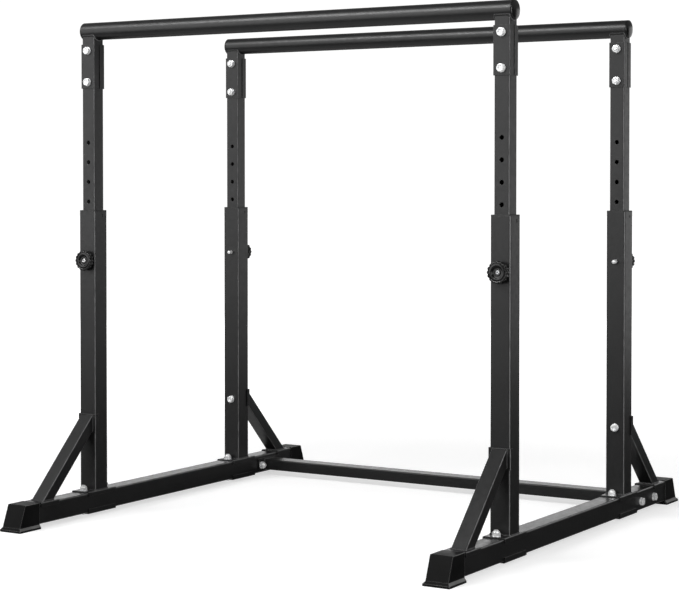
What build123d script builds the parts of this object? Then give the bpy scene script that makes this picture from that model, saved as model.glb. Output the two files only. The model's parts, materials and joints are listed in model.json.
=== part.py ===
from build123d import *
import os

os.makedirs("parts", exist_ok=True)

# Height-adjustable parallel bars, in millimetres. +X runs along the bars, +Y from the front bar
# to the rear bar, +Z up. The origin is on the floor at the centre of the footprint.

# Overall layout
POST_SPACING_X = 1176.0  # left posts to right posts
BAR_SPACING_Y = 640.0  # front bar to rear bar
BAR_AXIS_Z = 1234.0
RAIL_BOTTOM_Z = 10.0

# Handrail bars
BAR_DIAMETER = 44.5
BAR_WALL = 2.5
BAR_LENGTH = 1220.0
CAP_LENGTH = 6.5
CAP_ROUNDING = 5.0
CAP_SEAM_WIDTH = 1.2
CAP_SEAM_DEPTH = 1.4
CAP_PLUG_LENGTH = 22.0
CAP_PLUG_WALL = 3.0

# Square tubes
TUBE_WALL = 2.0
RAIL_SIDE = 50.0
RAIL_CORNER = 4.0
RAIL_LENGTH = 1216.0
LOWER_POST_SIDE = 50.0
LOWER_POST_CORNER = 4.0
UPPER_POST_SIDE = 38.0
UPPER_POST_CORNER = 3.0
BRACE_WIDTH = 38.0
BRACE_DEPTH = 30.0
BRACE_CORNER = 3.0

# Pressed steel plates
PLATE = 3.0
PLATE_GAP = 0.2  # between a folded plate and the tube it wraps
FLANGE_DEPTH = 13.0  # a folded plate's flange, with the web's thickness
SADDLE_FLANGE_DEPTH = 11.0
SADDLE_LENGTH = 108.0
SADDLE_BOLT_OFFSET = 42.0

# Telescoping posts
LOWER_POST_TOP_Z = 775.0
UPPER_POST_TOP_Z = 1143.0
UPPER_POST_BOTTOM_Z = 575.0
PIN_Z = 650.0
HOLE_PITCH = 50.0
HOLE_COUNT = 7
HOLE_RADIUS = 5.5

# Bushing at the mouth of each lower post, and guide plug at the foot of each upper post
SLIDE_GAP = 0.3
BUSHING_DEPTH = 60.0
BUSHING_FLANGE = 3.0
BUSHING_FIT = 0.05
SNAP_HOLE_RADIUS = 4.0
SNAP_HOLE_DROP = 11.5
SNAP_HOLE_OFFSET_Y = 5.0
SNAP_NUB_LENGTH = 1.4
PLUG_COLLAR = 8.0
PLUG_DEPTH = 25.0
PLUG_BORE_RADIUS = 9.0

# Clamp that joins each bar stub to its upper post
CLAMP_PLATE = 2.0
CLAMP_GAP = 0.05
CLAMP_FLANGE_DEPTH = 18.5
CLAMP_LENGTH = 112.0
CLAMP_CENTRE_Z = 1144.0
CLAMP_BOLT_SPACING = 80.0
STUB_GAP = 2.0

# Diagonal braces at 45 degrees
BRACE_LINE = 263.5  # height of the brace's centre line above the floor at the post's centre
BRACKET_HEIGHT = 48.0
BRACKET_CENTRE_Z = 234.0
BRACE_BOLT_Z = 232.0
BRACE_FOOT_LENGTH = 68.0
BRACE_FOOT_OFFSET = 204.0

# Cross-beam between the rails, behind the rear posts
BEAM_Y = 447.0
BEAM_Z = 32.0
BEAM_WIDTH = 50.0
BEAM_HEIGHT = 30.0
BEAM_CORNER = 3.0
BEAM_PLATE = 4.0
BEAM_PLATE_HEIGHT = 38.0

# Foot caps on the rail ends
FOOT_REAR_Y = 564.0
FOOT_TOP_FRONT_Y = 616.0
FOOT_WALL_FRONT_Y = 636.0
FOOT_SOLE_FRONT_Y = 642.0
FOOT_WALL_HALF_WIDTH = 27.5
FOOT_SOLE_HALF_WIDTH = 33.0
FOOT_TOP_Z = 64.0
FOOT_SOLE_Z = 5.0
FOOT_SLOPE_Z = 11.5
FOOT_EDGE = 2.0

# M10 fasteners
BOLT_RADIUS = 5.0
BOLT_HOLE_RADIUS = 5.3
HEAD_HEIGHT = 6.4
HEX_ACROSS_FLATS = 17.0
HEX_CHAMFER = 1.3
NUT_HEIGHT = 8.0
LOCK_NUT_HEIGHT = 10.0
THREAD_GAP = 0.02
BOLT_END = 2.5
WASHER = 2.0
WASHER_RADIUS = 10.0
CARRIAGE_HEAD_RADIUS = 11.0
CARRIAGE_HEAD_HEIGHT = 5.0
CARRIAGE_NECK = 10.0

# Lock pins with fluted knobs
PIN_RADIUS = 5.0
PIN_FIT = 0.08
PIN_TIP = 14.5  # the pin stands out of the far side of the post by this
PIN_END_RECESS = 2.5
KNOB_RADIUS = 26.0
KNOB_LENGTH = 15.0
KNOB_BACK_RADIUS = 22.5
KNOB_BACK_LENGTH = 3.0
KNOB_EDGE = 1.6
KNOB_DISH_RADIUS = 13.5
KNOB_DISH_DEPTH = 5.0
FLUTE_COUNT = 16
FLUTE_RADIUS = 3.2
FLUTE_DEPTH = 1.7

# Derived positions
POST_X = POST_SPACING_X / 2
POST_Y = BAR_SPACING_Y / 2
RAIL_CENTRE_Z = RAIL_BOTTOM_Z + RAIL_SIDE / 2
RAIL_TOP_Z = RAIL_BOTTOM_Z + RAIL_SIDE
POST_BOTTOM_Z = RAIL_TOP_Z + PLATE
POST_FACE = LOWER_POST_SIDE / 2
BRACKET_FACE = POST_FACE + PLATE
CLAMP_FACE = UPPER_POST_SIDE / 2 + CLAMP_PLATE
BAR_RADIUS = BAR_DIAMETER / 2
SIDES = {"front": -1, "rear": 1}
ENDS = {"left": -1, "right": 1}
UP = (0, 0, 1)
DOWN = (0, 0, -1)
OUTWARD = (0, -1, 0)
INWARD = (0, 1, 0)


def save(name, *solids):
    """Write one named node; a group of like pieces stays as separate solids."""
    shape = solids[0] if len(solids) == 1 else Compound(children=list(solids))
    export_step(shape, "parts/" + name + ".step")


def at(point, direction, shape):
    """Place a shape so that its +Z runs along a direction from a point."""
    return Plane(origin=point, z_dir=direction).location * shape


def corner(shape, end, side):
    """Place a shape built round a post's centre line with outward along -Y at one of the four corners."""
    turn = 0 if side < 0 else 180
    return Pos(end * POST_X, side * POST_Y, 0) * Rot(0, 0, turn) * shape


def four(shape):
    """The same shape at all four corners."""
    return [corner(shape, end, side) for side in SIDES.values() for end in ENDS.values()]


def tube(width, height, radius, length):
    """Rectangular tube along +Z, centred on the axis, from z = 0."""
    outside = RectangleRounded(width, height, radius)
    inside = RectangleRounded(width - 2 * TUBE_WALL, height - 2 * TUBE_WALL, radius - TUBE_WALL)
    return extrude(outside - inside, length)


def hole(point, direction, radius, length):
    """Cutting cylinder centred on a point."""
    return at(point, direction, Cylinder(radius, length))


def channel(wrapped, depth, length, plate=PLATE, gap=PLATE_GAP):
    """Folded plate round three sides of a tube: the web is from y = -plate to 0, along Z from z = 0."""
    half = wrapped / 2 + gap
    outer = Pos(0, depth / 2 - plate, length / 2) * Box(2 * (half + plate), depth, length)
    bends = outer.edges().filter_by(Axis.Z).group_by(Axis.Y)[0]
    outer = fillet(bends, plate)
    inner = Pos(0, depth / 2, length / 2) * Box(2 * half, depth, length + 2)
    return outer - inner


def hexagon(height, chamfered_ends):
    """Hexagonal prism from z = 0 to height with its corners turned off at the named ends."""
    corner_radius = HEX_ACROSS_FLATS / 2 / 0.866
    prism = extrude(RegularPolygon(corner_radius, 6), height)
    turned = Pos(0, 0, height / 2) * Cylinder(corner_radius, height)
    rims = turned.edges().filter_by(GeomType.CIRCLE).sort_by(Axis.Z)
    turned = chamfer([rims[i] for i in chamfered_ends], HEX_CHAMFER)
    return prism & turned


def hex_bolt(length):
    """Bolt whose head bears on z = 0 from below and whose shank runs up to z = length."""
    head = Pos(0, 0, -HEAD_HEIGHT) * hexagon(HEAD_HEIGHT, [0])
    shank = Pos(0, 0, length / 2) * Cylinder(BOLT_RADIUS, length)
    end = shank.edges().filter_by(GeomType.CIRCLE).sort_by(Axis.Z)[-1]
    return head + chamfer(end, 1.0)


def carriage_bolt(length):
    """Domed head below z = 0, square neck in the plate above it, shank up to z = length."""
    dome_radius = (CARRIAGE_HEAD_RADIUS**2 + CARRIAGE_HEAD_HEIGHT**2) / (2 * CARRIAGE_HEAD_HEIGHT)
    ball = Pos(0, 0, dome_radius - CARRIAGE_HEAD_HEIGHT) * Sphere(dome_radius)
    head = ball & Pos(0, 0, -CARRIAGE_HEAD_HEIGHT / 2) * Cylinder(
        CARRIAGE_HEAD_RADIUS, CARRIAGE_HEAD_HEIGHT
    )
    neck = Pos(0, 0, PLATE / 2) * Box(CARRIAGE_NECK, CARRIAGE_NECK, PLATE)
    shank = Pos(0, 0, length / 2) * Cylinder(BOLT_RADIUS, length)
    end = shank.edges().filter_by(GeomType.CIRCLE).sort_by(Axis.Z)[-1]
    return head + neck + chamfer(end, 1.0)


def plain_nut():
    """Nut bearing on z = 0."""
    thread = Pos(0, 0, NUT_HEIGHT / 2) * Cylinder(BOLT_RADIUS + THREAD_GAP, NUT_HEIGHT + 2)
    return hexagon(NUT_HEIGHT, [0, -1]) - thread


def lock_nut():
    """Nut bearing on z = 0 with a round nylon-insert collar on top."""
    collar_radius = HEX_ACROSS_FLATS / 2 - 0.8
    collar = Pos(0, 0, LOCK_NUT_HEIGHT / 2) * Cylinder(collar_radius, LOCK_NUT_HEIGHT)
    rim = collar.edges().filter_by(GeomType.CIRCLE).sort_by(Axis.Z)[-1]
    body = hexagon(NUT_HEIGHT - 0.5, [-1]) + fillet(rim, 1.2)
    thread = Pos(0, 0, LOCK_NUT_HEIGHT / 2) * Cylinder(BOLT_RADIUS + THREAD_GAP, LOCK_NUT_HEIGHT + 2)
    return body - thread


def washer():
    """Flat washer on z = 0."""
    ring = Pos(0, 0, WASHER / 2) * Cylinder(WASHER_RADIUS, WASHER)
    rim = ring.edges().filter_by(GeomType.CIRCLE).sort_by(Axis.Z)[-1]
    return fillet(rim, 0.5) - Cylinder(BOLT_HOLE_RADIUS, 3 * WASHER)


# Base rails: square tubes along Y with holes for the saddle bolts and, near the rear, the beam bolts
def base_rail(end):
    rail = at((0, RAIL_LENGTH / 2, 0), OUTWARD, tube(RAIL_SIDE, RAIL_SIDE, RAIL_CORNER, RAIL_LENGTH))
    for side in SIDES.values():
        for step in (-1, 1):
            y = side * POST_Y + step * SADDLE_BOLT_OFFSET
            rail -= hole((0, y, 0), UP, HOLE_RADIUS, 2 * RAIL_SIDE)
    for step in (-1, 1):
        y = BEAM_Y + step * SADDLE_BOLT_OFFSET
        rail -= hole((0, y, BEAM_Z - RAIL_CENTRE_Z), (1, 0, 0), HOLE_RADIUS, 2 * RAIL_SIDE)
    return Pos(end * POST_X, 0, RAIL_CENTRE_Z) * rail


for end_name, end in ENDS.items():
    save(end_name + "_base_rail", base_rail(end))

# Cross-beam: flat rectangular tube along X with a drilled plate welded on each end
beam_reach = POST_X - RAIL_SIDE / 2
beam_length = 2 * (beam_reach - BEAM_PLATE)
beam = at((-beam_length / 2, 0, 0), (1, 0, 0), tube(BEAM_HEIGHT, BEAM_WIDTH, BEAM_CORNER, beam_length))
for end in ENDS.values():
    plate = Pos(end * (beam_reach - BEAM_PLATE / 2), 0, 0) * Box(
        BEAM_PLATE, SADDLE_LENGTH, BEAM_PLATE_HEIGHT
    )
    plate = fillet(plate.edges().filter_by(Axis.X), 4.0)
    for step in (-1, 1):
        centre = (end * beam_reach, step * SADDLE_BOLT_OFFSET, 0)
        plate -= hole(centre, (1, 0, 0), HOLE_RADIUS, 4 * BEAM_PLATE)
    beam += plate
save("cross_beam", Pos(0, BEAM_Y, BEAM_Z) * beam)


# Foot caps: boots over the rail ends with a sloping nose and a wider sole
def foot_cap():
    nose = Polyline(
        (FOOT_REAR_Y, FOOT_SOLE_Z),
        (FOOT_WALL_FRONT_Y, FOOT_SOLE_Z),
        (FOOT_WALL_FRONT_Y, FOOT_SLOPE_Z),
        (FOOT_TOP_FRONT_Y, FOOT_TOP_Z),
        (FOOT_REAR_Y, FOOT_TOP_Z),
        close=True,
    )
    wall = extrude(Plane.YZ * make_face(nose), FOOT_WALL_HALF_WIDTH, both=True)
    top_edges = wall.edges().filter_by(Axis.Y).group_by(Axis.Z)[-1]
    front_edge = wall.edges().filter_by(Axis.X).group_by(Axis.Z)[-1].sort_by(Axis.Y)[-1]
    wall = fillet(top_edges + [front_edge], FOOT_EDGE)
    sole_length = FOOT_SOLE_FRONT_Y - FOOT_REAR_Y
    sole_centre_y = (FOOT_SOLE_FRONT_Y + FOOT_REAR_Y) / 2
    base = Pos(0, sole_centre_y, 0) * RectangleRounded(2 * FOOT_SOLE_HALF_WIDTH, sole_length, FOOT_EDGE)
    sole = extrude(base, FOOT_SOLE_Z)
    rim = FOOT_SOLE_HALF_WIDTH - FOOT_WALL_HALF_WIDTH
    lip_top_length = FOOT_WALL_FRONT_Y - FOOT_REAR_Y
    lip_low = Pos(0, sole_centre_y, FOOT_SOLE_Z) * Rectangle(
        2 * FOOT_SOLE_HALF_WIDTH - FOOT_EDGE, sole_length - FOOT_EDGE
    )
    lip_high = Pos(0, FOOT_REAR_Y + lip_top_length / 2, FOOT_SOLE_Z + rim) * Rectangle(
        2 * FOOT_WALL_HALF_WIDTH, lip_top_length
    )
    lip = loft([lip_low, lip_high])
    pocket_side = RAIL_SIDE + 2 * PLATE_GAP
    pocket = Pos(0, RAIL_LENGTH / 2, RAIL_CENTRE_Z) * Box(pocket_side, RAIL_LENGTH, pocket_side)
    pocket_end = Pos(0, RAIL_LENGTH + RAIL_LENGTH / 2, RAIL_CENTRE_Z) * Box(
        2 * pocket_side, RAIL_LENGTH * 2, 2 * pocket_side
    )
    reach = Pos(0, RAIL_LENGTH / 4, RAIL_CENTRE_Z) * Box(pocket_side, RAIL_LENGTH / 2, pocket_side)
    return wall + sole + lip - (pocket - pocket_end & reach)


foot = foot_cap()
for side_name, side in SIDES.items():
    for end_name, end in ENDS.items():
        turn = 180 if side < 0 else 0
        save(side_name + "_" + end_name + "_foot_cap", Pos(end * POST_X, 0, 0) * Rot(0, 0, turn) * foot)


# Lower posts: outer tubes welded to a folded saddle that sits on the rail
def lower_post(snap_y):
    post = Pos(0, 0, POST_BOTTOM_Z) * tube(
        LOWER_POST_SIDE, LOWER_POST_SIDE, LOWER_POST_CORNER, LOWER_POST_TOP_Z - POST_BOTTOM_Z
    )
    post -= hole((0, 0, PIN_Z), INWARD, PIN_RADIUS + PIN_FIT, 2 * LOWER_POST_SIDE)
    post -= hole((0, 0, BRACE_BOLT_Z), INWARD, BOLT_HOLE_RADIUS, 2 * LOWER_POST_SIDE)
    snap_z = LOWER_POST_TOP_Z - SNAP_HOLE_DROP
    post -= hole((0, snap_y, snap_z), (1, 0, 0), SNAP_HOLE_RADIUS, 2 * LOWER_POST_SIDE)
    saddle = Pos(0, SADDLE_LENGTH / 2, RAIL_TOP_Z) * Rot(90, 0, 0) * Rot(0, 0, 180) * channel(
        RAIL_SIDE, SADDLE_FLANGE_DEPTH, SADDLE_LENGTH
    )
    for step in (-1, 1):
        saddle -= hole((0, step * SADDLE_BOLT_OFFSET, RAIL_TOP_Z), UP, HOLE_RADIUS, 4 * PLATE)
    return post + saddle


for side_name, side in SIDES.items():
    post = lower_post(-side * SNAP_HOLE_OFFSET_Y)
    for end_name, end in ENDS.items():
        save(side_name + "_" + end_name + "_lower_post", corner(post, end, side))

# Under-plates: folded plates beneath the rails, square-holed for the carriage bolts
under_plate = Pos(0, -SADDLE_LENGTH / 2, RAIL_BOTTOM_Z) * Rot(-90, 0, 0) * Rot(0, 0, 180) * channel(
    RAIL_SIDE, FLANGE_DEPTH, SADDLE_LENGTH
)
for step in (-1, 1):
    square = Box(CARRIAGE_NECK + 2 * PLATE_GAP, CARRIAGE_NECK + 2 * PLATE_GAP, 4 * PLATE)
    under_plate -= Pos(0, step * SADDLE_BOLT_OFFSET, RAIL_BOTTOM_Z) * square
save("saddle_under_plates", *four(under_plate))


# Braces: 45-degree tubes welded to a bracket round the post and a folded foot plate on the rail
def brace():
    section = tube(BRACE_WIDTH, BRACE_DEPTH, BRACE_CORNER, POST_SPACING_X)
    upper_end = (0, RAIL_SIDE, BRACE_LINE + RAIL_SIDE)
    steel = Plane(origin=upper_end, x_dir=(1, 0, 0), z_dir=(0, -1, -1)).location * section
    room = Pos(0, -BRACKET_FACE - POST_SPACING_X / 2, POST_BOTTOM_Z + POST_SPACING_X / 2) * Box(
        2 * RAIL_SIDE, POST_SPACING_X, POST_SPACING_X
    )
    steel = steel & room
    bracket = Pos(0, -POST_FACE, BRACKET_CENTRE_Z - BRACKET_HEIGHT / 2) * channel(
        LOWER_POST_SIDE, FLANGE_DEPTH, BRACKET_HEIGHT
    )
    bracket -= hole((0, -BRACKET_FACE, BRACE_BOLT_Z), INWARD, BOLT_HOLE_RADIUS, 4 * PLATE)
    nut = at((0, -BRACKET_FACE, BRACE_BOLT_Z), OUTWARD, plain_nut())
    foot_start = -BRACE_FOOT_OFFSET + BRACE_FOOT_LENGTH / 2
    foot_plate = Pos(0, foot_start, RAIL_TOP_Z) * Rot(90, 0, 0) * Rot(0, 0, 180) * channel(
        RAIL_SIDE, SADDLE_FLANGE_DEPTH, BRACE_FOOT_LENGTH
    )
    return steel + bracket + nut + foot_plate


brace_piece = brace()
for side_name, side in SIDES.items():
    for end_name, end in ENDS.items():
        save(side_name + "_" + end_name + "_brace", corner(brace_piece, end, side))


# Bushings: plastic liners at the mouths of the lower posts, held by a nub in each side wall
def bushing(snap_y):
    cavity = LOWER_POST_SIDE - 2 * TUBE_WALL
    opening = UPPER_POST_SIDE + 2 * SLIDE_GAP
    liner_side = cavity - 2 * BUSHING_FIT
    liner_corner = LOWER_POST_CORNER - TUBE_WALL
    liner = Pos(0, 0, -BUSHING_DEPTH) * extrude(
        RectangleRounded(liner_side, liner_side, liner_corner), BUSHING_DEPTH
    )
    flange = extrude(
        RectangleRounded(LOWER_POST_SIDE, LOWER_POST_SIDE, LOWER_POST_CORNER), BUSHING_FLANGE
    )
    flange = fillet(flange.edges().group_by(Axis.Z)[-1], 1.0)
    through = Pos(0, 0, -2 * BUSHING_DEPTH) * extrude(
        RectangleRounded(opening, opening, UPPER_POST_CORNER + SLIDE_GAP), 4 * BUSHING_DEPTH
    )
    nubs = hole(
        (0, snap_y, -SNAP_HOLE_DROP), (1, 0, 0), SNAP_HOLE_RADIUS - 0.2, cavity + 2 * SNAP_NUB_LENGTH
    )
    return Pos(0, 0, LOWER_POST_TOP_Z) * (liner + flange + nubs - through)


for side_name, side in SIDES.items():
    liner = bushing(-side * SNAP_HOLE_OFFSET_Y)
    for end_name, end in ENDS.items():
        save(side_name + "_" + end_name + "_bushing", corner(liner, end, side))

# Fasteners of the base
saddle_grip = 2 * PLATE + RAIL_SIDE
carriage = carriage_bolt(saddle_grip + WASHER + LOCK_NUT_HEIGHT + BOLT_END)
saddle_bolts = []
lock_nuts = []
base_washers = []
for step in (-1, 1):
    y = step * SADDLE_BOLT_OFFSET
    saddle_bolts += four(at((0, y, RAIL_BOTTOM_Z - PLATE), UP, carriage))
    base_washers += four(at((0, y, POST_BOTTOM_Z), UP, washer()))
    lock_nuts += four(at((0, y, POST_BOTTOM_Z + WASHER), UP, lock_nut()))
save("saddle_carriage_bolts", *saddle_bolts)

brace_bolt = hex_bolt(WASHER + LOWER_POST_SIDE + PLATE + NUT_HEIGHT + BOLT_END)
save("brace_bolts", *four(at((0, POST_FACE + WASHER, BRACE_BOLT_Z), OUTWARD, brace_bolt)))
base_washers += four(at((0, POST_FACE, BRACE_BOLT_Z), INWARD, washer()))

beam_grip = WASHER + RAIL_SIDE + BEAM_PLATE + WASHER
beam_bolt = hex_bolt(beam_grip + LOCK_NUT_HEIGHT + BOLT_END)
beam_bolts = []
for end in ENDS.values():
    towards = (-end, 0, 0)
    outer_x = end * (POST_X + RAIL_SIDE / 2)
    inner_x = end * (beam_reach - BEAM_PLATE)
    for step in (-1, 1):
        y = BEAM_Y + step * SADDLE_BOLT_OFFSET
        beam_bolts.append(at((outer_x + end * WASHER, y, BEAM_Z), towards, beam_bolt))
        base_washers.append(at((outer_x, y, BEAM_Z), (end, 0, 0), washer()))
        base_washers.append(at((inner_x, y, BEAM_Z), towards, washer()))
        lock_nuts.append(at((inner_x - end * WASHER, y, BEAM_Z), towards, lock_nut()))
save("cross_beam_bolts", *beam_bolts)
save("base_lock_nuts", *lock_nuts)
save("base_washers", *base_washers)


# Handrail bars: round tubes along X with two coped square stubs welded beneath
def handrail():
    core = at((-BAR_LENGTH / 2, 0, BAR_AXIS_Z), (1, 0, 0), extrude(Circle(BAR_RADIUS), BAR_LENGTH))
    bore = at(
        (-BAR_LENGTH / 2 - 1, 0, BAR_AXIS_Z),
        (1, 0, 0),
        extrude(Circle(BAR_RADIUS - BAR_WALL), BAR_LENGTH + 2),
    )
    rail = core - bore
    stub_bottom = UPPER_POST_TOP_Z + STUB_GAP
    for end in ENDS.values():
        stub = Pos(end * POST_X, 0, stub_bottom) * tube(
            UPPER_POST_SIDE, UPPER_POST_SIDE, UPPER_POST_CORNER, BAR_AXIS_Z - stub_bottom
        )
        stub -= at(
            (-BAR_LENGTH / 2 - 1, 0, BAR_AXIS_Z),
            (1, 0, 0),
            extrude(Circle(BAR_RADIUS - BAR_WALL / 2), BAR_LENGTH + 2),
        )
        upper_bolt_z = CLAMP_CENTRE_Z + CLAMP_BOLT_SPACING / 2
        stub -= hole((end * POST_X, 0, upper_bolt_z), INWARD, BOLT_HOLE_RADIUS, 2 * UPPER_POST_SIDE)
        rail += stub
    return rail


# End caps: domed plugs with a narrow seam against the bar's end, along +Z from the bar's end at z = 0
def end_cap():
    button_length = CAP_LENGTH - CAP_SEAM_WIDTH
    button = Pos(0, 0, CAP_SEAM_WIDTH + button_length / 2) * Cylinder(BAR_RADIUS, button_length)
    rim = button.edges().filter_by(GeomType.CIRCLE).sort_by(Axis.Z)[-1]
    button = fillet(rim, CAP_ROUNDING)
    seam = Pos(0, 0, CAP_SEAM_WIDTH / 2) * Cylinder(BAR_RADIUS - CAP_SEAM_DEPTH, CAP_SEAM_WIDTH)
    plug_radius = BAR_RADIUS - BAR_WALL - BUSHING_FIT
    plug = Pos(0, 0, -CAP_PLUG_LENGTH / 2) * Cylinder(plug_radius, CAP_PLUG_LENGTH)
    hollow = Pos(0, 0, -CAP_PLUG_LENGTH / 2 - 1) * Cylinder(plug_radius - CAP_PLUG_WALL, CAP_PLUG_LENGTH)
    return button + seam + plug - hollow


# Upper posts: inner tubes with a row of height holes and one clamp-bolt hole
def upper_post():
    post = Pos(0, 0, UPPER_POST_BOTTOM_Z) * tube(
        UPPER_POST_SIDE, UPPER_POST_SIDE, UPPER_POST_CORNER, UPPER_POST_TOP_Z - UPPER_POST_BOTTOM_Z
    )
    for i in range(HOLE_COUNT):
        post -= hole((0, 0, PIN_Z + i * HOLE_PITCH), INWARD, HOLE_RADIUS, 2 * UPPER_POST_SIDE)
    lower_bolt_z = CLAMP_CENTRE_Z - CLAMP_BOLT_SPACING / 2
    return post - hole((0, 0, lower_bolt_z), INWARD, BOLT_HOLE_RADIUS, 2 * UPPER_POST_SIDE)


# Guide plugs: collars that keep the foot of each upper post centred in its lower post
def guide_plug():
    collar_side = LOWER_POST_SIDE - 2 * TUBE_WALL - 2 * SLIDE_GAP
    collar = Pos(0, 0, -PLUG_COLLAR) * extrude(
        RectangleRounded(collar_side, collar_side, LOWER_POST_CORNER - TUBE_WALL), PLUG_COLLAR
    )
    stem_side = UPPER_POST_SIDE - 2 * TUBE_WALL - 2 * BUSHING_FIT
    stem = extrude(RectangleRounded(stem_side, stem_side, UPPER_POST_CORNER - TUBE_WALL), PLUG_DEPTH)
    return Pos(0, 0, UPPER_POST_BOTTOM_Z) * (collar + stem - Cylinder(PLUG_BORE_RADIUS, 4 * PLUG_DEPTH))


# Clamp plates: two facing channels that hold the stub and the upper post end to end
clamp_plate = Pos(0, -UPPER_POST_SIDE / 2, CLAMP_CENTRE_Z - CLAMP_LENGTH / 2) * channel(
    UPPER_POST_SIDE, CLAMP_FLANGE_DEPTH, CLAMP_LENGTH, CLAMP_PLATE, CLAMP_GAP
)
clamp_bolt = hex_bolt(2 * CLAMP_FACE + 2 * WASHER + NUT_HEIGHT + BOLT_END)
bolt_heights = [CLAMP_CENTRE_Z + step * CLAMP_BOLT_SPACING / 2 for step in (-1, 1)]
for z in bolt_heights:
    clamp_plate -= hole((0, -CLAMP_FACE, z), INWARD, BOLT_HOLE_RADIUS, 4 * CLAMP_PLATE)

cap = end_cap()
post = upper_post()
plug = guide_plug()
for side_name, side in SIDES.items():
    save(side_name + "_bar", Pos(0, side * POST_Y, 0) * handrail())
    outer_plates = []
    inner_plates = []
    plugs = []
    bolts = []
    nuts = []
    washers = []
    for end_name, end in ENDS.items():
        bar_end = (end * BAR_LENGTH / 2, side * POST_Y, BAR_AXIS_Z)
        save(side_name + "_bar_" + end_name + "_cap", at(bar_end, (end, 0, 0), cap))
        save(side_name + "_" + end_name + "_upper_post", corner(post, end, side))
        plugs.append(corner(plug, end, side))
        outer_plates.append(corner(clamp_plate, end, side))
        inner_plates.append(corner(Rot(0, 0, 180) * clamp_plate, end, side))
        for z in bolt_heights:
            bolts.append(corner(at((0, -CLAMP_FACE - WASHER, z), INWARD, clamp_bolt), end, side))
            washers.append(corner(at((0, -CLAMP_FACE, z), OUTWARD, washer()), end, side))
            washers.append(corner(at((0, CLAMP_FACE, z), INWARD, washer()), end, side))
            nuts.append(corner(at((0, CLAMP_FACE + WASHER, z), INWARD, plain_nut()), end, side))
    save(side_name + "_bar_outer_clamp_plates", *outer_plates)
    save(side_name + "_bar_inner_clamp_plates", *inner_plates)
    save(side_name + "_bar_guide_plugs", *plugs)
    save(side_name + "_bar_clamp_bolts", *bolts)
    save(side_name + "_bar_clamp_nuts", *nuts)
    save(side_name + "_bar_clamp_washers", *washers)


# Lock pins: a round pin through both tubes, a fluted knob on its outer end, a washer under the knob
def lock_pin(knob_front):
    back = knob_front - PIN_END_RECESS
    length = back + POST_FACE + PIN_TIP - PIN_RADIUS
    shank = extrude(Circle(PIN_RADIUS), length)
    nose = Pos(0, 0, length) * Sphere(PIN_RADIUS)
    return at((0, -back, PIN_Z), INWARD, shank + nose)


def knob():
    outline = Polyline(
        (PIN_RADIUS, 0),
        (KNOB_BACK_RADIUS, 0),
        (KNOB_RADIUS, KNOB_BACK_LENGTH),
        (KNOB_RADIUS, KNOB_LENGTH - KNOB_EDGE),
        (KNOB_RADIUS - KNOB_EDGE, KNOB_LENGTH),
        (KNOB_DISH_RADIUS + KNOB_EDGE, KNOB_LENGTH),
        (KNOB_DISH_RADIUS - KNOB_EDGE, KNOB_LENGTH - KNOB_DISH_DEPTH),
        (PIN_RADIUS, KNOB_LENGTH - KNOB_DISH_DEPTH),
        close=True,
    )
    body = revolve(Plane.XZ * make_face(outline), Axis.Z)
    flute_centre = KNOB_RADIUS + FLUTE_RADIUS - FLUTE_DEPTH
    flute = Pos(flute_centre, 0, KNOB_LENGTH / 2) * Cylinder(FLUTE_RADIUS, 2 * KNOB_LENGTH)
    for i in range(FLUTE_COUNT):
        body -= Rot(0, 0, i * 360 / FLUTE_COUNT) * flute
    return body


washer_back = POST_FACE + SLIDE_GAP
knob_back = washer_back + WASHER + SLIDE_GAP
pin = lock_pin(knob_back + KNOB_LENGTH)
pin_knob = at((0, -knob_back, PIN_Z), OUTWARD, knob())
pin_washer = at((0, -washer_back, PIN_Z), OUTWARD, washer())
for side_name, side in SIDES.items():
    for end_name, end in ENDS.items():
        prefix = side_name + "_" + end_name
        save(prefix + "_lock_pin", corner(pin, end, side))
        save(prefix + "_lock_knob", corner(pin_knob, end, side))
        save(prefix + "_lock_washer", corner(pin_washer, end, side))
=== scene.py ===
import json
import math

import bpy
from mathutils import Matrix, Vector


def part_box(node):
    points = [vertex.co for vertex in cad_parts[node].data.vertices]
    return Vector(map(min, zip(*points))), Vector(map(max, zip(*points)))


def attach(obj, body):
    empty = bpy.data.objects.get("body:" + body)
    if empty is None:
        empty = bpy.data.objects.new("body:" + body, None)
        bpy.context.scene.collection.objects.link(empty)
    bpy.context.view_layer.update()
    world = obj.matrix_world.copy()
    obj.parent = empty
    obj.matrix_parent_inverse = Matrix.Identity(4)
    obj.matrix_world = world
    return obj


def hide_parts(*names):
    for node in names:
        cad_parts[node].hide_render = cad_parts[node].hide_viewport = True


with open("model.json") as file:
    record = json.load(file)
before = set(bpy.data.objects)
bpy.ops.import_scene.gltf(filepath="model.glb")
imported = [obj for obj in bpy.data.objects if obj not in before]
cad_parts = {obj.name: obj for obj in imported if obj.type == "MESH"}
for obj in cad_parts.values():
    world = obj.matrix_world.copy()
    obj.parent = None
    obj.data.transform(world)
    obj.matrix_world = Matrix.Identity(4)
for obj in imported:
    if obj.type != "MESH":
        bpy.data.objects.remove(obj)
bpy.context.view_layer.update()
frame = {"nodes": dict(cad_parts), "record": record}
scene = bpy.context.scene
nodes = frame["nodes"]
SIDES = {"front": -1, "rear": 1}
ENDS = {"left": -1, "right": 1}
CORNERS = [(side, end_name) for side in SIDES for end_name in ENDS]
AXIS_HOLE = 0.0001  # turned shapes stop this far from their axis, in metres


# ---------------------------------------------------------------- camera, stage and studio light
def camera():
    data = bpy.data.cameras.new("camera")
    data.sensor_fit = "HORIZONTAL"
    data.sensor_width = 36.0
    data.lens = 100.14
    data.shift_y = -0.1179
    data.clip_end = 200.0
    data.dof.use_dof = False
    cam = bpy.data.objects.new("camera", data)
    cam.location = (2.4866, -4.1052, 0.8561)
    cam.rotation_euler = (math.radians(88.7), 0.0, math.radians(31.657))
    scene.collection.objects.link(cam)
    scene.camera = cam


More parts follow.
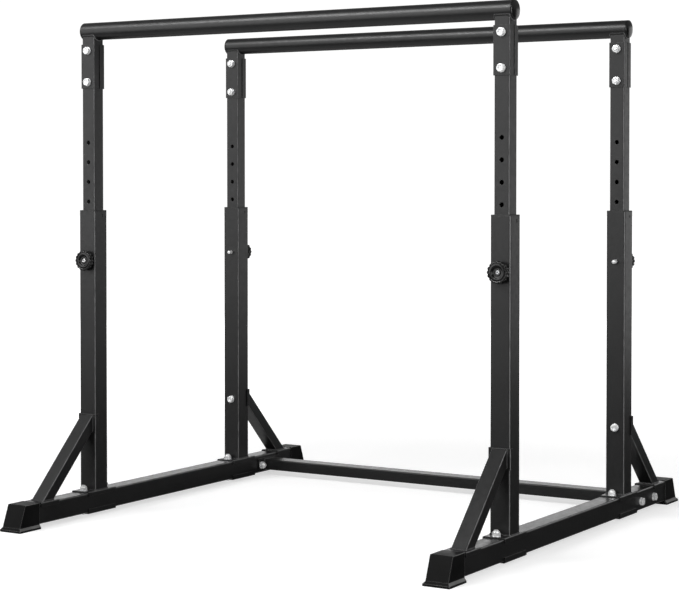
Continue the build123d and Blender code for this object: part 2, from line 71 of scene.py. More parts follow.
def off_for_bounces(obj):
    obj.visible_diffuse = False
    obj.visible_glossy = False
    obj.visible_transmission = False


def studio_floor():
    """Pale floor: its own even glow keeps it white, and a thin share of real light gives soft shadows."""
    bpy.ops.mesh.primitive_circle_add(vertices=128, radius=40.0, fill_type="NGON", location=(0, 0, -0.0003))
    floor = bpy.context.object
    floor.name = "studio_floor"
    mat = bpy.data.materials.new("floor_paper")
    mat.use_nodes = True
    tree = mat.node_tree
    tree.nodes.clear()
    new = tree.nodes.new
    out = new("ShaderNodeOutputMaterial")
    both = new("ShaderNodeAddShader")
    paper = new("ShaderNodeBsdfDiffuse")
    paper.inputs["Color"].default_value = (0.58, 0.58, 0.58, 1)
    glow = new("ShaderNodeEmission")
    coords = new("ShaderNodeTexCoord")
    length = new("ShaderNodeVectorMath")
    length.operation = "LENGTH"
    fade = new("ShaderNodeMapRange")
    fade.interpolation_type = "SMOOTHSTEP"
    fade.inputs["From Min"].default_value = 1.1
    fade.inputs["From Max"].default_value = 3.0
    fade.inputs["To Min"].default_value = 0.59
    fade.inputs["To Max"].default_value = 1.05
    tree.links.new(coords.outputs["Object"], length.inputs[0])
    tree.links.new(length.outputs["Value"], fade.inputs["Value"])
    tree.links.new(fade.outputs["Result"], glow.inputs["Strength"])
    tree.links.new(glow.outputs[0], both.inputs[0])
    tree.links.new(paper.outputs[0], both.inputs[1])
    tree.links.new(both.outputs[0], out.inputs[0])
    floor.data.materials.append(mat)
    off_for_bounces(floor)


def studio_backdrop():
    bpy.ops.mesh.primitive_uv_sphere_add(segments=48, ring_count=24, radius=60.0)
    dome = bpy.context.object
    dome.name = "studio_backdrop"
    paper = bpy.data.materials.new("backdrop_paper")
    paper.use_nodes = True
    tree = paper.node_tree
    tree.nodes.clear()
    out = tree.nodes.new("ShaderNodeOutputMaterial")
    glow = tree.nodes.new("ShaderNodeEmission")
    glow.inputs["Color"].default_value = (1, 1, 1, 1)
    glow.inputs["Strength"].default_value = 1.05
    tree.links.new(glow.outputs[0], out.inputs[0])
    dome.data.materials.append(paper)
    off_for_bounces(dome)
    dome.visible_shadow = False


def softbox(name, place, aim, width, height, power):
    data = bpy.data.lights.new(name, "AREA")
    data.shape = "RECTANGLE"
    data.size = width
    data.size_y = height
    data.energy = power
    lamp = bpy.data.objects.new(name, data)
    lamp.location = place
    lamp.rotation_euler = (Vector(aim) - Vector(place)).to_track_quat("-Z", "Y").to_euler()
    lamp.visible_camera = False
    scene.collection.objects.link(lamp)


def studio_room():
    """Dim room round the softboxes: pale floor seen from above, a dark band near the horizon, grey walls."""
    sky = bpy.data.worlds.new("studio")
    scene.world = sky
    sky.use_nodes = True
    tree = sky.node_tree
    back = tree.nodes["Background"]
    coords = tree.nodes.new("ShaderNodeTexCoord")
    split = tree.nodes.new("ShaderNodeSeparateXYZ")
    spread = tree.nodes.new("ShaderNodeMapRange")
    spread.inputs["From Min"].default_value = -1
    spread.inputs["From Max"].default_value = 1
    ramp = tree.nodes.new("ShaderNodeValToRGB")
    stops = ramp.color_ramp.elements
    stops[0].position, stops[1].position = 0.12, 1.0
    levels = [(0.12, 0.60), (0.27, 0.05), (0.44, 0.02), (0.53, 0.03), (0.60, 0.18), (0.8, 0.24), (1.0, 0.13)]
    while len(stops) < len(levels):
        stops.new(0.5)
    for stop, (position, grey) in zip(stops, levels):
        stop.position = position
        stop.color = (grey, grey, grey, 1)
    tree.links.new(coords.outputs["Generated"], split.inputs[0])
    tree.links.new(split.outputs["Z"], spread.inputs["Value"])
    tree.links.new(spread.outputs[0], ramp.inputs[0])
    tree.links.new(ramp.outputs[0], back.inputs["Color"])
    back.inputs["Strength"].default_value = 1.0


scene.view_settings.view_transform = "Standard"
scene.view_settings.look = "None"
camera()
studio_floor()
studio_backdrop()
studio_room()
softbox("key_overhead", (-1.3, -3.7, 4.0), (0, 0, 1.15), 4.7, 1.25, 225)
softbox("front_left", (-1.95, -3.3, 1.3), (0, 0, 0.85), 3.2, 2.2, 42)
softbox("right_rear", (1.2, 3.3, 0.85), (0, 0, 0.75), 2.6, 1.5, 12)
softbox("right_front", (3.4, -1.5, 1.1), (0, 0, 0.7), 2.0, 2.2, 72)
softbox("rear_low", (-3.6, 5.8, 1.5), (0, 0, 0.1), 5.5, 1.8, 60)


# ---------------------------------------------------------------- materials
NOISE_SPREAD = (0.3, 0.7)  # the range that nearly all of a noise texture's values fall in
NOISE_MIDDLE = (0.35, 0.65)
EDGE_SPREAD = (0.82, 0.99)  # cosine between the rounded and the true normal, from worn edge to flat


class Surface:
    """Node-based material with helpers for noise, edge wear, a corner mask for painted highlights and fine
    relief.
    """

    def __init__(self, name, metallic=0.0, specular=0.5):
        self.mat = bpy.data.materials.new(name)
        self.mat.use_nodes = True
        self.tree = self.mat.node_tree
        self.bsdf = self.tree.nodes["Principled BSDF"]
        self.bsdf.inputs["Metallic"].default_value = metallic
        self.bsdf.inputs["Specular IOR Level"].default_value = specular
        self.coords = self.tree.nodes.new("ShaderNodeTexCoord").outputs["Object"]

    def link(self, a, b):
        self.tree.links.new(a, b)

    def noise(self, scale, detail=3.0, rough=0.55, squash=None):
        node = self.tree.nodes.new("ShaderNodeTexNoise")
        node.inputs["Scale"].default_value = scale
        node.inputs["Detail"].default_value = detail
        node.inputs["Roughness"].default_value = rough
        if squash:
            mapping = self.tree.nodes.new("ShaderNodeMapping")
            mapping.inputs["Scale"].default_value = squash
            self.link(self.coords, mapping.inputs["Vector"])
            self.link(mapping.outputs["Vector"], node.inputs["Vector"])
        else:
            self.link(self.coords, node.inputs["Vector"])
        return node.outputs["Fac"]

    def cells(self, scale):
        node = self.tree.nodes.new("ShaderNodeTexVoronoi")
        node.inputs["Scale"].default_value = scale
        self.link(self.coords, node.inputs["Vector"])
        return node.outputs["Distance"]

    def span(self, value, low, high, from_low=0.0, from_high=1.0):
        node = self.tree.nodes.new("ShaderNodeMapRange")
        node.inputs["From Min"].default_value = from_low
        node.inputs["From Max"].default_value = from_high
        node.inputs["To Min"].default_value = low
        node.inputs["To Max"].default_value = high
        self.link(value, node.inputs["Value"])
        return node.outputs["Result"]

    def blend(self, factor, a, b):
        """Mix two colours; each is a tuple or a socket."""
        node = self.tree.nodes.new("ShaderNodeMix")
        node.data_type = "RGBA"
        self.link(factor, node.inputs["Factor"])
        for key, value in (("A", a), ("B", b)):
            socket = [s for s in node.inputs if s.name == key and s.type == "RGBA"][0]
            if isinstance(value, tuple):
                socket.default_value = (*value, 1)
            else:
                self.link(value, socket)
        return [s for s in node.outputs if s.type == "RGBA"][0]

    def times(self, a, b):
        node = self.tree.nodes.new("ShaderNodeMath")
        node.operation = "MULTIPLY"
        self.link(a, node.inputs[0])
        if isinstance(b, float):
            node.inputs[1].default_value = b
        else:
            self.link(b, node.inputs[1])
        return node.outputs[0]

    def plus(self, a, b):
        node = self.tree.nodes.new("ShaderNodeMath")
        node.operation = "ADD"
        self.link(a, node.inputs[0])
        self.link(b, node.inputs[1])
        return node.outputs[0]

    def edges(self, radius):
        """1 along sharp edges, 0 on flats, from how far the rounded normal leaves the true one."""
        rounded = self.tree.nodes.new("ShaderNodeBevel")
        rounded.samples = 4
        rounded.inputs["Radius"].default_value = radius
        true = self.tree.nodes.new("ShaderNodeNewGeometry")
        dot = self.tree.nodes.new("ShaderNodeVectorMath")
        dot.operation = "DOT_PRODUCT"
        self.link(rounded.outputs["Normal"], dot.inputs[0])
        self.link(true.outputs["Normal"], dot.inputs[1])
        self.rounded = rounded.outputs["Normal"]
        return self.span(dot.outputs["Value"], 1.0, 0.0, *EDGE_SPREAD)

    def corners(self):
        """1 on the rounded long edges beside the faces that look along X, 0 on flats and round bars: the mask
        for painted highlight lines on those corners.
        """
        normal = self.tree.nodes.new("ShaderNodeTexCoord").outputs["Normal"]
        split = self.tree.nodes.new("ShaderNodeSeparateXYZ")
        self.link(normal, split.inputs[0])
        across = self.times(split.outputs["X"], split.outputs["X"])
        rest = self.span(across, 1.0, 0.0)
        return self.span(self.times(across, rest), 0.0, 1.0, 0.10, 0.23)

    def relief(self, height, distance, strength):
        """Bump on top of the rounded normal, so it comes after edges()."""
        bump = self.tree.nodes.new("ShaderNodeBump")
        bump.inputs["Strength"].default_value = strength
        bump.inputs["Distance"].default_value = distance
        self.link(height, bump.inputs["Height"])
        self.link(self.rounded, bump.inputs["Normal"])
        self.link(bump.outputs["Normal"], self.bsdf.inputs["Normal"])

    def colour(self, socket):
        self.link(socket, self.bsdf.inputs["Base Color"])

    def roughness(self, socket):
        self.link(socket, self.bsdf.inputs["Roughness"])


def powder_coat():
    s = Surface("powder_coat")
    edge = s.edges(0.0012)
    cloud = s.noise(7.0, 4.0)
    fine = s.noise(520.0, 2.0)
    peel = s.noise(260.0, 2.0, 0.4)
    mottle = s.noise(95.0, 3.0, 0.6)
    # painted highlight: the corners beside the faces that look along X are lightened towards 0.13, standing
    # in for the light these rounded corners catch; the noise only varies its strength
    painted_corner_highlight = s.times(s.corners(), s.span(s.noise(45.0, 3.0), 0.45, 1.0, 0.3, 0.6))
    worn = s.times(edge, s.span(s.noise(60.0, 3.0), 0.0, 1.0, 0.42, 0.62))
    base = s.blend(s.span(cloud, 0.0, 1.0, *NOISE_MIDDLE), (0.0060, 0.0060, 0.0062), (0.0085, 0.0085, 0.0087))
    speckled = s.blend(s.span(fine, 0.0, 1.0, 0.62, 0.72), base, (0.017, 0.017, 0.0175))
    chipped = s.blend(s.times(worn, 0.7), speckled, (0.07, 0.07, 0.071))
    s.colour(s.blend(painted_corner_highlight, chipped, (0.13, 0.13, 0.131)))
    s.roughness(s.plus(s.span(mottle, 0.32, 0.42, *NOISE_SPREAD), s.span(fine, -0.02, 0.03, *NOISE_SPREAD)))
    s.relief(s.plus(s.times(mottle, 1.0), s.plus(s.times(peel, 0.5), s.times(fine, 0.3))), 0.00009, 0.8)
    return s.mat


def foot_rubber():
    s = Surface("foot_rubber", specular=0.06)
    edge = s.edges(0.0022)
    cloud = s.noise(18.0, 5.0)
    grain = s.noise(700.0, 3.0)
    pebble = s.cells(420.0)
    base = s.blend(s.span(cloud, 0.0, 1.0, *NOISE_MIDDLE), (0.004, 0.004, 0.004), (0.007, 0.007, 0.007))
    scuffed = s.blend(s.times(edge, s.span(cloud, 0.6, 1.0, *NOISE_SPREAD)), base, (0.14, 0.14, 0.138))
    # painted highlight: the corners beside the faces that look along X are lightened towards 0.17, standing
    # in for the light these rounded corners catch
    painted_corner_highlight = s.times(s.corners(), s.span(cloud, 0.6, 1.0, *NOISE_SPREAD))
    s.colour(s.blend(painted_corner_highlight, scuffed, (0.17, 0.17, 0.168)))
    s.roughness(s.span(cloud, 0.42, 0.56, *NOISE_SPREAD))
    s.relief(s.plus(s.times(pebble, 0.5), s.times(grain, 0.5)), 0.00009, 0.7)
    return s.mat


def moulded(name, dark, light, rough_low, rough_high, relief, specular=0.5):
    """Moulded plastic: slight tone clouding, a faint grain and brighter handled edges."""
    s = Surface(name, specular=specular)
    edge = s.edges(0.0007)
    cloud = s.noise(30.0, 4.0)
    grain = s.noise(900.0, 2.0)
    base = s.blend(s.span(cloud, 0.0, 1.0, *NOISE_MIDDLE), dark, light)
    s.colour(s.blend(s.times(edge, 0.5), base, tuple(3.0 * v for v in light)))
    rough = s.span(cloud, rough_low, rough_high, *NOISE_SPREAD)
    s.roughness(s.plus(rough, s.span(grain, -0.02, 0.02, *NOISE_SPREAD)))
    s.relief(grain, relief, 0.6)
    return s.mat


def zinc_steel():
    s = Surface("zinc_steel", metallic=0.36)
    edge = s.edges(0.0005)
    cloud = s.noise(90.0, 4.0)
    streak = s.noise(220.0, 3.0, 0.6, (1.0, 1.0, 6.0))
    spots = s.cells(600.0)
    base = s.blend(s.span(cloud, 0.0, 1.0, *NOISE_SPREAD), (0.78, 0.79, 0.81), (0.93, 0.93, 0.92))
    tinted = s.blend(s.span(streak, 0.0, 0.5, 0.55, 0.8), base, (0.74, 0.73, 0.66))
    s.colour(s.blend(s.times(edge, 0.6), tinted, (0.98, 0.98, 0.98)))
    s.roughness(s.plus(s.span(cloud, 0.2, 0.3, *NOISE_SPREAD), s.span(streak, -0.03, 0.04, *NOISE_SPREAD)))
    s.relief(s.plus(s.times(streak, 0.5), s.times(spots, 0.25)), 0.00005, 0.55)
    return s.mat


MATS = {
    "powder_coat": powder_coat(),
    "foot_rubber": foot_rubber(),
    "liner_plastic": moulded("liner_plastic", (0.009,) * 3, (0.013,) * 3, 0.42, 0.5, 0.00004),
    "cap_plastic": moulded("cap_plastic", (0.005,) * 3, (0.008,) * 3, 0.15, 0.22, 0.00002),
    "knob_plastic": moulded("knob_plastic", (0.004,) * 3, (0.0065,) * 3, 0.13, 0.2, 0.00002, 0.42),
    "zinc_steel": zinc_steel(),
}
for part in frame["record"]["subparts"]:
    node = nodes[part["node"]]
    node.data.materials.clear()
    node.data.materials.append(MATS[part["material_slot"]])


# ---------------------------------------------------------------- mesh helpers
class Shell:
    """Collects vertices and faces of one piece, then turns them into an object on its body."""

    def __init__(self):
        self.verts = []
        self.faces = []

    def rings(self, rows, closed_rows=False):
        """Skin equal rows of points, each row a closed ring; the rows may close on themselves."""
        start = len(self.verts)
        count = len(rows[0])
        for row in rows:
            self.verts.extend(row)
        last = len(rows) if closed_rows else len(rows) - 1
        for i in range(last):
            a = start + i * count
            b = start + (i + 1) % len(rows) * count
            for j in range(count):
                k = (j + 1) % count
                self.faces.append((a + j, a + k, b + k, b + j))

    def lathe(self, place, profile, segments=48, shape=None, turn=0.0):
        """Turn (radius, height) pairs about the Z of a placement; shape(angle, i) may rework each pair."""
        rows = []
        for i, (radius, height) in enumerate(profile):
            row = []
            for j in range(segments):
                angle = turn + 2 * math.pi * j / segments
                r, h = shape(angle - turn, i) if shape else (radius, height)
                row.append(place @ Vector((r * math.cos(angle), r * math.sin(angle), h)))
            rows.append(row)
        self.rings(rows)

    def build(self, name, slot, body, stands_for=(), sharp=38.0):
        mesh = bpy.data.meshes.new(name)
        mesh.from_pydata(self.verts, [], self.faces)
        mesh.validate()
        mesh.shade_smooth()
        mesh.set_sharp_from_angle(angle=math.radians(sharp))
        mesh.materials.append(MATS[slot])
        piece = bpy.data.objects.new(name, mesh)
        scene.collection.objects.link(piece)
        for node_name in stands_for:
            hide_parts(node_name)
        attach(piece, body)


def facing(point, direction):
    """Placement whose Z runs along a direction from a point."""
    turn = Vector(direction).to_track_quat("Z", "Y").to_matrix().to_4x4()
    return Matrix.Translation(Vector(point)) @ turn


def solids(node_name):
    """Boxes of the separate solids in one CAD node, as (low, high), in a steady order."""
    mesh = nodes[node_name].data
    keys = {}
    welded = []
    for v in mesh.vertices:
        key = tuple(round(c * 1e5) for c in v.co)
        welded.append(keys.setdefault(key, len(keys)))
    parent = list(range(len(keys)))

    def root(i):
        while parent[i] != i:
            parent[i] = parent[parent[i]]
            i = parent[i]
        return i

    for face in mesh.polygons:
        first = root(welded[face.vertices[0]])
        for v in face.vertices[1:]:
            parent[root(welded[v])] = first
    boxes = {}
    for v in mesh.vertices:
        low, high = boxes.setdefault(root(welded[v.index]), (v.co.copy(), v.co.copy()))
        for i in range(3):
            low[i] = min(low[i], v.co[i])
            high[i] = max(high[i], v.co[i])
    return sorted(boxes.values(), key=lambda b: [round(c, 4) for c in b[0]])


def middle(box):
    return (box[0] + box[1]) / 2


# ---------------------------------------------------------------- fasteners
HALF_FLATS = 0.0085  # half the width across the flats of an M10 head or nut
FACE_RADIUS = 0.96 * HALF_FLATS  # the flat end face inside the cone
CHAMFER_SLOPE = 0.58
BROKEN_EDGE = 0.0002
SHANK_RADIUS = 0.0049
THREAD_DEPTH = 0.00075
THREAD_PITCH = 0.0015
THREAD_LENGTH = 0.012
POINT_CHAMFER = 0.001
HEAD_HEIGHT = 0.0064
HEAD_DISH_RADIUS = 0.0055
NUT_BORE = 0.0052
BORE_CHAMFER = 0.0007
LOCK_COLLAR = 0.0028


def hexed(shell, place, height, bore, turn, both_ends=False):
    """Bored hexagon with its corners turned off by a cone at the top, or at both ends."""

    def shape(angle, i):
        full = HALF_FLATS / math.cos((angle + math.pi / 6) % (math.pi / 3) - math.pi / 6)
        drop = (full - FACE_RADIUS) * CHAMFER_SLOPE
        low = drop if both_ends else 0.0
        high = height - drop
        return (
            (bore, 0.0),
            (FACE_RADIUS if both_ends else full - BROKEN_EDGE, 0.0),
            (full, drop if both_ends else BROKEN_EDGE),
            (full, (low + high) / 2),
            (full, high),
            (FACE_RADIUS, height),
            (bore + BORE_CHAMFER, height),
            (bore, height - BORE_CHAMFER),
        )[i]

    shell.lathe(place, [(0, 0)] * 8, 72, shape, turn)


def threaded_end(shell, place, length, turn):
    """The last turns of a rolled thread, running up from z = 0 to a chamfered, closed point."""
    steps = int(length / THREAD_PITCH * 8)

    def shape(angle, i):
        if i == steps + 1:
            return 0.0022, length
        if i == steps + 2:
            return AXIS_HOLE, length - 0.0002
        height = length * i / steps
        wave = 0.5 + 0.5 * math.cos(2 * math.pi * (height / THREAD_PITCH) - angle)
        radius = SHANK_RADIUS - THREAD_DEPTH * (1 - wave)
        return min(radius, SHANK_RADIUS - POINT_CHAMFER + length - height), height

    shell.lathe(place, [(0, 0)] * (steps + 3), 40, shape, turn)


def bolt_head(shell, place, turn):
    """Hex head standing on its bearing face at z = 0, with a shallow forged dish in its top."""
    hexed(shell, place, HEAD_HEIGHT, HEAD_DISH_RADIUS, turn)
    dish = [(0.0062, 0.0), (0.0056, 0.0003), (0.0048, 0.00065), (AXIS_HOLE, 0.0007)]
    shell.lathe(place, [(radius, HEAD_HEIGHT - depth) for radius, depth in dish], 48)


def lock_collar(shell, place, top):
    """Rolled-over collar that holds a lock nut's nylon ring."""
    rolled = [
        (0.0080, 0.0032), (0.0079, 0.0022), (0.0076, 0.0010), (0.0070, 0.0003), (0.0064, 0.0),
        (0.0058, 0.0002), (0.0055, 0.0009), (NUT_BORE, 0.0020),
    ]
    shell.lathe(place, [(radius, top - depth) for radius, depth in rolled])


def standing(box, out):
    """Foot of a solid on the side away from a direction, and its length along that direction."""
    out = Vector(out)
    axis = max(range(3), key=lambda k: abs(out[k]))
    length = box[1][axis] - box[0][axis]
    return middle(box) - out * (length / 2), out, length


def hex_bolts(node_name, body, head_way):
    """Stand-in for a node of hex bolts; head_way gives each bolt's direction from tip to head."""
    shell = Shell()
    for i, box in enumerate(solids(node_name)):
        tip, out, length = standing(box, head_way(middle(box)))
        turn = 0.35 + 1.7 * i  # each bolt stops at its own angle
        shell.lathe(
            facing(tip, out), [(SHANK_RADIUS, THREAD_LENGTH), (SHANK_RADIUS, length - HEAD_HEIGHT)], 32
        )
        threaded_end(shell, facing(tip + out * THREAD_LENGTH, -out), THREAD_LENGTH, turn)
        bolt_head(shell, facing(tip + out * (length - HEAD_HEIGHT), out), turn)
    shell.build(node_name + "_visual", "zinc_steel", body, [node_name], 32.0)


def hex_nuts(node_name, body, nut_way, collar):
    """Stand-in for a node of nuts; nut_way gives each nut's direction away from what it bears on."""
    shell = Shell()
    for i, box in enumerate(solids(node_name)):
        foot, out, height = standing(box, nut_way(middle(box)))
        place = facing(foot, out)
        turn = 0.8 + 1.3 * i  # each nut stops at its own angle
        if collar:
            hexed(shell, place, height - LOCK_COLLAR, NUT_BORE, turn)
            lock_collar(shell, place, height)
        else:
            hexed(shell, place, height, NUT_BORE, turn, both_ends=True)
    shell.build(node_name + "_visual", "zinc_steel", body, [node_name], 32.0)


for side, sign in SIDES.items():
    bar_body = side + "_bar_assembly"
    hex_bolts(side + "_bar_clamp_bolts", bar_body, lambda c, s=sign: (0, s, 0))
    hex_nuts(side + "_bar_clamp_nuts", bar_body, lambda c, s=sign: (0, -s, 0), False)
hex_bolts("brace_bolts", "base", lambda c: (0, -1 if c.y > 0 else 1, 0))
hex_bolts("cross_beam_bolts", "base", lambda c: (1 if c.x > 0 else -1, 0, 0))


def lock_nut_way(centre):
    rail_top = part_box("left_base_rail")[1].z
    if centre.z > rail_top:
        return (0, 0, 1)
    return (-1 if centre.x > 0 else 1, 0, 0)


hex_nuts("base_lock_nuts", "base", lock_nut_way, True)


# ---------------------------------------------------------------- bar end caps
CAP_SHOULDER = 0.0015
CAP_SEAM_DEPTH = 0.0014
CAP_DOME_STEPS = 22


def end_cap(side, end_name, sign):
    """Plug inside the tube, a seam against its end, and a dome from the tube's radius to the axis."""
    node_name = f"{side}_bar_{end_name}_cap"
    low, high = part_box(node_name)
    bar_low, bar_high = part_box(side + "_bar")
    radius = (high.z - low.z) / 2
    start = bar_high.x if sign > 0 else bar_low.x
    out = (high.x - bar_high.x) if sign > 0 else (bar_low.x - low.x)
    plug = (high.x - low.x) - out
    centre = middle((low, high))
    profile = [
        (radius - 0.006, -plug), (radius - 0.0026, -plug), (radius - 0.0026, -0.0001),
        (radius - CAP_SEAM_DEPTH, -0.0001), (radius - CAP_SEAM_DEPTH, 0.0011),
        (radius - 0.0003, 0.0012), (radius, CAP_SHOULDER),
    ]
    for i in range(1, CAP_DOME_STEPS + 1):
        angle = math.pi / 2 * i / CAP_DOME_STEPS
        height = CAP_SHOULDER + (out - CAP_SHOULDER) * math.sin(angle)
        profile.append((max(radius * math.cos(angle), AXIS_HOLE), height))
    shell = Shell()
    shell.lathe(facing((start, centre.y, centre.z), (sign, 0, 0)), profile, 72)
    shell.build(node_name + "_visual", "cap_plastic", side + "_bar_assembly", [node_name], 50.0)


for side in SIDES:
    for end_name, sign in ENDS.items():
        end_cap(side, end_name, sign)


# ---------------------------------------------------------------- knobs and pins
LOBES = 16
LOBE_DEPTH = 0.0021
LOBE_SHARPNESS = 1.6
PIN_CLEAR = 0.0052  # the knob's bore, just wider than the pin
DISH_SHARE = 0.52
PIN_NOSE = 0.0028
NOSE_STEPS = 12


def knob(side, end_name):
    """Lobed knob: flat back, fluted rim, a groove inside the rim, and a dish round a raised hub."""
    node_name = f"{side}_{end_name}_lock_knob"
    low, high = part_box(node_name)
    sign = SIDES[side]
    centre = middle((low, high))
    radius = (high.x - low.x) / 2
    length = high.y - low.y
    back = low.y if sign > 0 else high.y
    dish = radius * DISH_SHARE
    # each row is a radius, a height above the back and the share of the lobes' depth it takes
    back_rows = [
        (PIN_CLEAR, 0.0, 0), (0.0150, 0.0, 0), (radius - 0.0045, 0.0002, 0.1),
        (radius - 0.0028, 0.0010, 0.5), (radius - 0.0012, 0.0024, 0.9), (radius - 0.0004, 0.0040, 1.0),
        (radius, 0.0062, 1.0),
    ]
    # from here on the second value is a depth below the front
    front_rows = [
        (radius, 0.0040, 1.0), (radius - 0.0002, 0.0024, 1.0), (radius - 0.0007, 0.0012, 0.9),
        (radius - 0.0015, 0.0005, 0.75), (radius - 0.0025, 0.0001, 0.55), (radius - 0.0034, 0.0, 0.4),
        (radius - 0.0046, 0.0001, 0.2), (radius - 0.0052, 0.0006, 0.1), (radius - 0.0057, 0.0007, 0.05),
        (radius - 0.0064, 0.0002, 0), (radius - 0.0095, 0.0001, 0), (dish + 0.0006, 0.0002, 0),
        (dish - 0.0001, 0.0008, 0), (dish - 0.0004, 0.0020, 0), (dish - 0.0008, 0.0040, 0),
        (dish - 0.0015, 0.0047, 0), (dish - 0.0027, 0.0049, 0), (0.0084, 0.0049, 0), (0.0079, 0.0040, 0),
        (0.0074, 0.0036, 0), (0.0064, 0.0035, 0), (0.0059, 0.0039, 0), (PIN_CLEAR, 0.0049, 0),
    ]
    rows = back_rows + [(r, length - depth, share) for r, depth, share in front_rows]

    def shape(angle, i):
        r, height, share = rows[i]
        hollow = (0.5 - 0.5 * math.cos(LOBES * angle)) ** LOBE_SHARPNESS
        return r - LOBE_DEPTH * share * hollow, height

    shell = Shell()
    shell.lathe(facing((centre.x, back, centre.z), (0, sign, 0)), [(0, 0)] * len(rows), LOBES * 14, shape)
    shell.build(node_name + "_visual", "knob_plastic", f"{side}_{end_name}_pin", [node_name], 60.0)


def lock_pin(side, end_name):
    """Turned pin: a bored outer end in the knob's dish, a plain shank, a rounded nose."""
    node_name = f"{side}_{end_name}_lock_pin"
    low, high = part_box(node_name)
    sign = SIDES[side]
    centre = middle((low, high))
    radius = (high.x - low.x) / 2
    length = high.y - low.y
    outer_end = low.y if sign < 0 else high.y
    profile = [
        (AXIS_HOLE, 0.0065), (0.0024, 0.0060), (0.0027, 0.0052), (0.0027, 0.0004), (0.0030, 0.0001),
        (0.0034, 0.0), (0.0038, 0.0003), (0.0047, 0.0017), (radius, 0.0024), (radius, 0.02),
        (radius, length - 0.0080),
    ]
    for i in range(1, NOSE_STEPS + 1):
        angle = math.pi / 2 * i / NOSE_STEPS
        height = length - PIN_NOSE + PIN_NOSE * math.sin(angle)
        profile.append((max(radius * math.cos(angle), AXIS_HOLE / 2), height))
    shell = Shell()
    shell.lathe(facing((centre.x, outer_end, centre.z), (0, -sign, 0)), profile, 48)
    shell.build(node_name + "_visual", "zinc_steel", f"{side}_{end_name}_pin", [node_name], 40.0)


for side, end_name in CORNERS:
    knob(side, end_name)
    lock_pin(side, end_name)


# ---------------------------------------------------------------- weld beads
RIPPLE = 0.0034
RIPPLE_SWELL = 0.16
UNEVEN_SWELL = 0.05
WELD_LIFT = 0.0003
PLATE_BEAD = 0.0023
BRACKET_BEAD = 0.0019
BEAM_BEAD = 0.0018
COPE_BEAD = 0.0030
POST_CORNER = 0.004
COPE_CORNER = 0.0035
BEAM_CORNER = 0.003
COPE_GAP = 0.0002
# the brace's 38 x 30 tube meets upright and level plates at 45 degrees
BRACE_HALF_WIDTH = 0.019
BRACE_HALF_CUT = 0.0212
BRACE_LINE = 0.2635  # height plus distance out from the post's axis, along the brace's centre line
BEAM_HALF_WIDTH = 0.025
BEAM_HALF_HEIGHT = 0.015
BEAM_PLATE = 0.004


def loop(half_a, half_b, corner, step=0.0008):
    """Evenly stepped points of a rounded rectangle about the origin."""
    arc_points = max(3, int(math.pi / 2 * corner / step))
    runs = [2 * (half_a - corner), 2 * (half_b - corner)]
    ways = ((-1, 0), (0, -1), (1, 0), (0, 1))
    points = []
    for k, (side_a, side_b) in enumerate(((1, 1), (-1, 1), (-1, -1), (1, -1))):
        centre_a = side_a * (half_a - corner)
        centre_b = side_b * (half_b - corner)
        for i in range(arc_points):
            angle = math.pi / 2 * (k + i / arc_points)
            points.append((centre_a + corner * math.cos(angle), centre_b + corner * math.sin(angle)))
        end = math.pi / 2 * (k + 1)
        begin_a = centre_a + corner * math.cos(end)
        begin_b = centre_b + corner * math.sin(end)
        run = runs[k % 2]
        count = int(run / step)
        for i in range(count):
            along = run * i / count
            points.append((begin_a + ways[k][0] * along, begin_b + ways[k][1] * along))
    return points


def bead(shell, path, radius, sides=8):
    """Closed weld bead along a path, with the overlapping ripples of a hand-run weld."""
    rows = []
    travelled = 0.0
    count = len(path)
    inside = sum(path, Vector()) / count
    for i in range(count):
        here = path[i]
        after = path[(i + 1) % count]
        along = (after - path[i - 1]).normalized()
        travelled += (after - here).length
        outward = here - inside
        outward = (outward - along * outward.dot(along)).normalized()
        third = along.cross(outward)
        ripples = travelled / RIPPLE
        swell = 1 - RIPPLE_SWELL + RIPPLE_SWELL * math.sin(math.pi * (ripples % 1.0))
        swell += UNEVEN_SWELL * math.sin(37.0 * ripples / 6.0)
        row = []
        for j in range(sides):
            angle = 2 * math.pi * j / sides
            offset = outward * math.cos(angle) + third * math.sin(angle)
            row.append(here + offset * radius * swell)
        rows.append(row)
    shell.rings(rows, closed_rows=True)


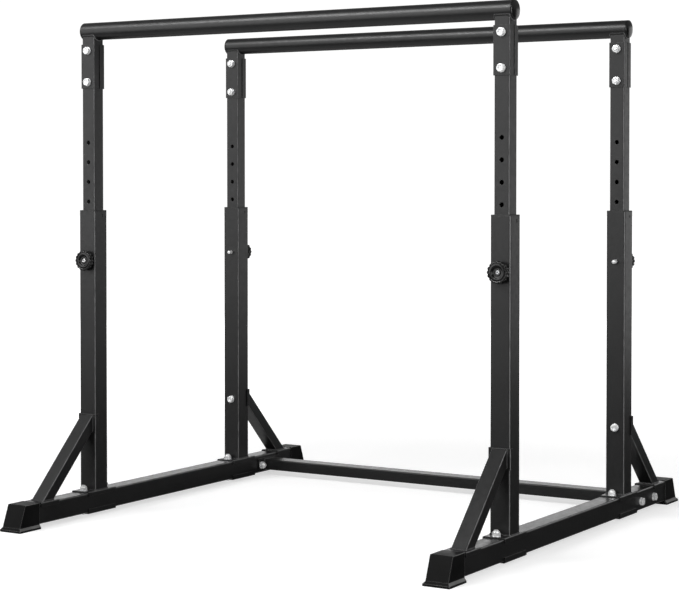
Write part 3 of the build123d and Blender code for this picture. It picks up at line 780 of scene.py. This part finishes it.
def base_welds(side, end_name):
    """Round the post's foot on its saddle, and round both ends of the brace."""
    sign = SIDES[side]
    rail_low, rail_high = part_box("left_base_rail")
    plate = rail_low.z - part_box("saddle_under_plates")[0].z
    saddle_top = rail_high.z + plate
    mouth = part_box(f"{side}_{end_name}_bushing")
    post = middle(mouth)
    half = (mouth[1].x - mouth[0].x) / 2
    brace = loop(BRACE_HALF_WIDTH, BRACE_HALF_CUT, POST_CORNER)

    shell = Shell()
    foot_z = saddle_top + 0.0004
    foot = [Vector((post.x + a, post.y + b, foot_z)) for a, b in loop(half, half, POST_CORNER)]
    bead(shell, foot, PLATE_BEAD)
    shell.build(f"{side}_{end_name}_post_weld", "powder_coat", "base")

    shell = Shell()
    foot_y = post.y + sign * (BRACE_LINE - saddle_top)
    bead(shell, [Vector((post.x + a, foot_y + b, saddle_top + WELD_LIFT)) for a, b in brace], PLATE_BEAD)
    face_y = post.y + sign * (half + plate + WELD_LIFT)
    head_z = BRACE_LINE - half - plate
    bead(shell, [Vector((post.x + a, face_y, head_z + b)) for a, b in brace], BRACKET_BEAD)
    shell.build(f"{side}_{end_name}_brace_welds", "powder_coat", "base")


def cope_welds(side):
    """Where the bar's two square stubs are coped to its round underside."""
    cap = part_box(side + "_bar_left_cap")
    axis_z = middle(cap).z
    bar_radius = (cap[1].z - cap[0].z) / 2
    shell = Shell()
    for end_name in ENDS:
        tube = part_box(f"{side}_{end_name}_upper_post")
        post = middle(tube)
        half = (tube[1].x - tube[0].x) / 2 + COPE_GAP
        path = []
        for a, b in loop(half, half, COPE_CORNER):
            path.append(Vector((post.x + a, post.y + b, axis_z - math.sqrt(bar_radius**2 - b**2) - COPE_GAP)))
        bead(shell, path, COPE_BEAD)
    shell.build(side + "_bar_cope_welds", "powder_coat", side + "_bar_assembly")


def beam_welds():
    """Round the cross-beam at the inner faces of its two end plates."""
    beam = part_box("cross_beam")
    centre = middle(beam)
    shell = Shell()
    for face_x in (beam[0].x + BEAM_PLATE + WELD_LIFT, beam[1].x - BEAM_PLATE - WELD_LIFT):
        section = loop(BEAM_HALF_WIDTH, BEAM_HALF_HEIGHT, BEAM_CORNER)
        bead(shell, [Vector((face_x, centre.y + a, centre.z + b)) for a, b in section], BEAM_BEAD)
    shell.build("cross_beam_welds", "powder_coat", "base")


for side, end_name in CORNERS:
    base_welds(side, end_name)
for side in SIDES:
    cope_welds(side)
beam_welds()
